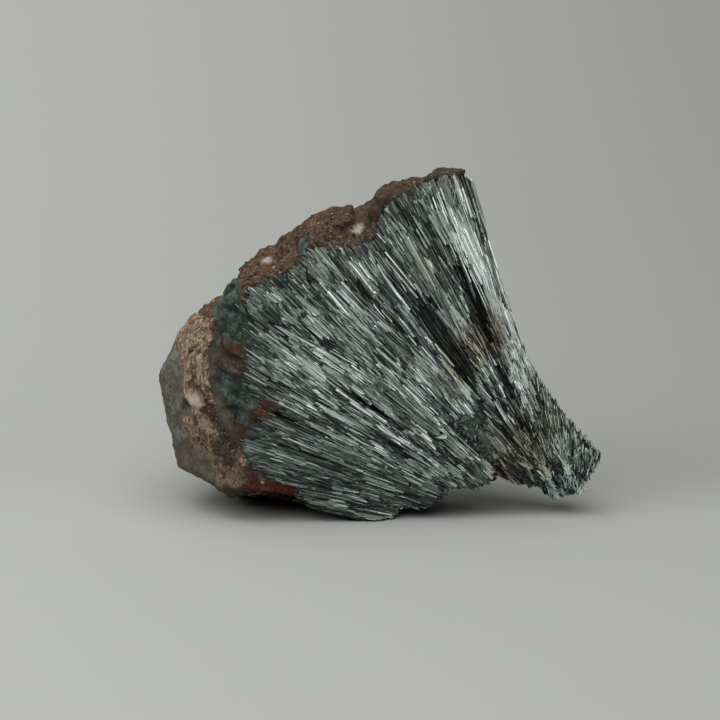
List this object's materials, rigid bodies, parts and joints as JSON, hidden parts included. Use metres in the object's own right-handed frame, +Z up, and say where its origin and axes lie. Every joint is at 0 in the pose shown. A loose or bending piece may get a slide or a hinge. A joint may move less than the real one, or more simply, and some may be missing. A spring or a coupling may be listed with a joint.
{
  "type": "pyrolusite specimen",
  "caption": "Hand-sized natural wedge of radiating grey needle crystals under a pitted brown rind, resting on three low flats.",
  "frame": {"origin": "on the table plane, under the middle of the specimen's box", "axes": "+X to the right along the length, towards the broken tip; +Y to the back, away from the large fan-shaped face; +Z up"},
  "size_m": [0.0886, 0.0494, 0.0683],
  "materials": {
    "needles": "steel-grey, half-metallic needle crystals, dark between them",
    "rind": "matt, granular brown crust with pale specks and rust stains"
  },
  "bodies": {
    "root": {"specimen": "needles"}
  },
  "joints": []
}
